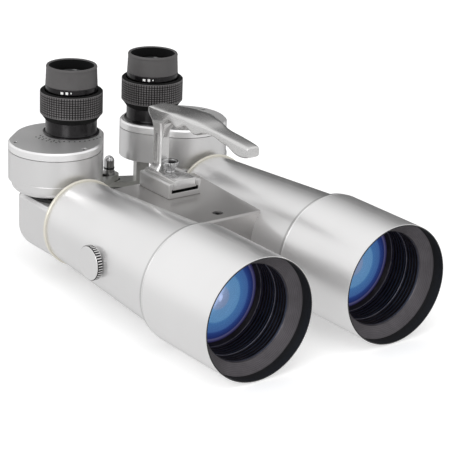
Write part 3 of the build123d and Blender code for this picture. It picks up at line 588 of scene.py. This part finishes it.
bar_outline = [(-11.4, AXIS_Z + 31.4), (11.4, AXIS_Z + 31.4), (10.4, AXIS_Z + 33.9), (10.4, FOOT_TOP),
               (-10.4, FOOT_TOP), (-10.4, AXIS_Z + 33.9)]
thumb_hole = [(3.2 * cos(2 * pi * k / 48), THUMB_Y + 3.2 * sin(2 * pi * k / 48)) for k in range(48)]
bar = piece(
    "handle_bar", prism_mesh("handle_bar", bar_outline, RIM_Y + 179.5, RIM_Y + 219.0), "handle",
    handle_paint)
finish_piece(bar, bevel=0.5, cuts=[prism_mesh("hole", thumb_hole, AXIS_Z + 28, AXIS_Z + 42, "XY")])

# ---- Handle shoe with softened edges, fluted thumb screw -----------------------------------------------

shoe_mesh = nodes["handle_shoe"].data.copy()
shoe_mesh.transform(nodes["handle_shoe"].matrix_world)
bm = bmesh.new()
bm.from_mesh(shoe_mesh)
bmesh.ops.remove_doubles(bm, verts=bm.verts, dist=1e-6)
bmesh.ops.dissolve_limit(bm, angle_limit=radians(1), verts=bm.verts, edges=bm.edges)
bm.to_mesh(shoe_mesh)
bm.free()
shoe_mesh.materials.clear()
shoe = piece("shoe", shoe_mesh, "chassis", shoe_paint)
finish_piece(shoe, bevel=0.55, segments=3)
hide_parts("handle_shoe")

THUMB_Z = FOOT_TOP + 0.3
FLUTES = 18
FLUTE_DEPTH = 0.9

# Height, radius and share of the flute depth, from the shank's end to the dished top
screw_outline = [(-8.9, 3.0, 0), (0.0, 3.0, 0), (0.0, 3.7, 0), (0.7, 3.8, 0), (1.4, 3.3, 0), (2.4, 3.6, 0.2),
                 (4.4, 4.9, 0.8), (6.4, 6.1, 1.0), (7.6, 6.7, 0.9), (8.3, 6.8, 0.4), (8.8, 6.3, 0.1),
                 (8.8, 5.2, 0), (8.2, 4.6, 0), (7.9, 0.8, 0)]


def screw_mesh(around=144):
    """A waisted shank under a flared head with scalloped flutes."""
    points, faces = [], []
    for k in range(around):
        a = 2 * pi * k / around
        scallop = 1.0 - abs(sin(FLUTES * a / 2))
        for z, r, share in screw_outline:
            reach = r - FLUTE_DEPTH * share * scallop
            points.append((reach * cos(a), THUMB_Y + reach * sin(a), THUMB_Z + z))
    n = len(screw_outline)
    for k in range(around):
        k2 = (k + 1) % around
        for i in range(n - 1):
            faces.append((k * n + i, k * n + i + 1, k2 * n + i + 1, k2 * n + i))
    faces.append(tuple(k * n for k in range(around)))
    faces.append(tuple(k * n + n - 1 for k in range(around)))
    return mesh_from("screw", points, faces)


screw = piece("fluted_screw", screw_mesh(), "handle_screw", chrome)
screw.data.set_sharp_from_angle(angle=radians(35))
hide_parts("thumb_screw")

# ---- Scale dots on the covers, marks on the label rings ----------------------------------------------

ink = rubber("mark_ink", (0.005, 0.005, 0.005), (0.012, 0.012, 0.012), 0.7)
white_ink = rubber("mark_white", (0.75, 0.75, 0.74), (0.82, 0.82, 0.81), 0.5)


def disc(points, faces, x, y, z, r, tall, count=12):
    """Adds a small flat disc to a mesh's points and faces."""
    start = len(points)
    angles = [2 * pi * k / count for k in range(count)]
    for level in (0, tall):
        points += [(x + r * cos(a), y + r * sin(a), z + level) for a in angles]
    faces.append(tuple(start + k for k in range(count)))
    faces.append(tuple(start + count + k for k in range(count)))
    for k in range(count):
        k2 = (k + 1) % count
        faces.append((start + k, start + k2, start + count + k2, start + count + k))


# Arcs of dots about an eyepiece: radius, first and last angle, step, dot radius
DOT_ARCS = ((26.4, 172, 306, 9, 0.7), (31.2, 176, 222, 8, 0.7), (28.8, 180, 222, 10, 0.6))

# Patches on a label ring: angle, width in degrees, low and high edge over the tube axes
LABEL_MARKS = ((-53, 6.0, 91.6, 93.4), (-42, 5.5, 91.6, 93.6), (-33, 2.2, 92.2, 93.4))
LABEL_RADII = (20.65, 20.78)
MARK_STEPS = 5


def dots_mesh(sign):
    points, faces = [], []
    for r, first, last, step, size in DOT_ARCS:
        for degrees in range(first, last, step):
            a = radians(degrees)
            disc(points, faces, sign * (EYE_X - r * cos(a)), EYE_Y + r * sin(a), COVER_TOP - 0.05, size, 0.12)
    return mesh_from("dots", points, faces)


def marks_mesh(sign):
    """Plain patches wrapped on a label ring, towards the front."""
    points, faces = [], []
    for mark, (angle, wide, low, high) in enumerate(LABEL_MARKS):
        for k in range(MARK_STEPS):
            a = -pi / 2 + radians(angle) + radians(wide) * (k / (MARK_STEPS - 1) - 0.5)
            points += [
                (sign * EYE_X + r * cos(a), EYE_Y + r * sin(a), AXIS_Z + z)
                for z in (low, high) for r in LABEL_RADII]
        base = mark * MARK_STEPS * 4
        for k in range(MARK_STEPS - 1):
            i, j = base + 4 * k, base + 4 * (k + 1)
            faces += [(i + 1, j + 1, j + 3, i + 3), (i, i + 2, j + 2, j), (i, j, j + 1, i + 1),
                      (i + 2, i + 3, j + 3, j + 2)]
        for i in (base, base + 4 * (MARK_STEPS - 1)):
            faces.append((i, i + 1, i + 3, i + 2))
    return mesh_from("marks", points, faces)


for side, sign in SIDES:
    piece(f"cover_dots_{side}", dots_mesh(sign), f"housing_{side}", ink, False)
    piece(f"label_marks_{side}", marks_mesh(sign), f"eyepiece_{side}", white_ink, False)

# ---- Bright machined edges inside the dew shields -----------------------------------------------------

edge_metal = turned_metal("edge_metal", (0.11, 0.10, 0.12), (0.19, 0.18, 0.20), 0.45, metallic=0.7)
baffle_outline = [(RIM_Y + 30.6, 36.75), (RIM_Y + 31.0, 36.5), (RIM_Y + 31.4, 36.75), (RIM_Y + 31.4, 37.4),
                  (RIM_Y + 30.6, 37.4)]
retainer_outline = [(RIM_Y + 47.6, 36.7), (RIM_Y + 47.4, 36.9), (RIM_Y + 47.4, 37.4), (RIM_Y + 48.2, 37.4),
                    (RIM_Y + 48.2, 36.7)]
for side, sign in SIDES:
    centre = (sign * AXIS_X, AXIS_Z)
    for name, outline, body in (("baffle_edge", baffle_outline, f"shield_{side}"),
                                ("retainer_edge", retainer_outline, "chassis")):
        piece(f"{name}_{side}", lathe("edge", outline, centre, "Y", 128), body, edge_metal)

# ---- Black band round the lock knob ------------------------------------------------------------------

BAND_Z = AXIS_Z + 17.2
band_outline = [(BAND_Z, 3.9), (BAND_Z, 4.32), (BAND_Z + 0.3, 4.45), (BAND_Z + 1.3, 4.45),
                (BAND_Z + 1.6, 4.32), (BAND_Z + 1.6, 3.9)]
piece(
    "knob_band", lathe("knob_band", band_outline, (0, LOCK_Y), "Z", 64), "lock_nut",
    shade_and_band_black)

# ---- Floor, light ------------------------------------------------------------------------------------

floor_mesh = box_mesh("floor", (-2500, -2500, -14), (2500, 2500, -4))
floor = bpy.data.objects.new("floor", floor_mesh)
bpy.context.scene.collection.objects.link(floor)
floor_look = Nodes("floor")
floor_look.colour(
    floor_look.ramp(floor_look.noise(3, 2), [(0.3, (0.93, 0.93, 0.93)), (0.7, (0.95, 0.95, 0.95))]))
floor_look.set(Roughness=0.9, Emission_Color=(1.0, 1.0, 1.0, 1.0), Emission_Strength=0.2)
floor_mesh.materials.append(floor_look.material)
floor.visible_glossy = False

# The studio: white all round, a little dimmer below, and dark in one direction, which the polished
# paint mirrors as dark bands. The camera itself sees plain white.
DARK_DIRECTION = Vector((0.65, 0.757, 0.03)).normalized()
DARK_STOPS = ((0.68, 1.0), (0.86, 0.50), (0.955, 0.01))     # over the cosine of the angle to it
HEIGHT_STOPS = ((0.40, 0.74), (0.56, 1.0))                  # from 0, straight down, to 1, straight up

world = bpy.data.worlds.new("studio")
bpy.context.scene.world = world
world.use_nodes = True
tree = world.node_tree
direction = tree.nodes.new("ShaderNodeTexCoord").outputs["Generated"]


def grey_ramp(value, stops):
    node = tree.nodes.new("ShaderNodeValToRGB")
    elements = node.color_ramp.elements
    while len(elements) < len(stops):
        elements.new(0.5)
    for element, (place, grey) in zip(elements, stops):
        element.position = place
        element.color = (grey, grey, grey, 1)
    tree.links.new(value, node.inputs["Fac"])
    return node.outputs["Color"]


towards_dark = tree.nodes.new("ShaderNodeVectorMath")
towards_dark.operation = "DOT_PRODUCT"
towards_dark.inputs[1].default_value = DARK_DIRECTION
tree.links.new(direction, towards_dark.inputs[0])
split = tree.nodes.new("ShaderNodeSeparateXYZ")
tree.links.new(direction, split.inputs[0])
height = tree.nodes.new("ShaderNodeMath")
height.operation = "MULTIPLY_ADD"
height.inputs[1].default_value = 0.5
height.inputs[2].default_value = 0.5
tree.links.new(split.outputs["Z"], height.inputs[0])
blend = tree.nodes.new("ShaderNodeVectorMath")
blend.operation = "MULTIPLY"
tree.links.new(grey_ramp(towards_dark.outputs["Value"], DARK_STOPS), blend.inputs[0])
tree.links.new(grey_ramp(height.outputs[0], HEIGHT_STOPS), blend.inputs[1])
plain = tree.nodes.new("ShaderNodeMix")
plain.data_type = "VECTOR"
plain.inputs[5].default_value = (1.0, 1.0, 1.0)
tree.links.new(tree.nodes.new("ShaderNodeLightPath").outputs["Is Camera Ray"], plain.inputs[0])
tree.links.new(blend.outputs["Vector"], plain.inputs[4])
tree.links.new(plain.outputs[1], tree.nodes["Background"].inputs["Color"])
tree.nodes["Background"].inputs["Strength"].default_value = 1.0


def soft_light(name, place, aim, size, power):
    data = bpy.data.lights.new(name, "AREA")
    data.shape = "SQUARE"
    data.size = size
    data.energy = power
    light = bpy.data.objects.new(name, data)
    light.location = place
    light.rotation_euler = (Vector(aim) - Vector(place)).to_track_quat("-Z", "Y").to_euler()
    bpy.context.scene.collection.objects.link(light)


soft_light("key", (-1.6, -0.9, 0.9), (0, -0.02, 0.04), 1.0, 11)
soft_light("top", (-0.3, -0.5, 1.6), (0, 0, 0.04), 0.8, 2)
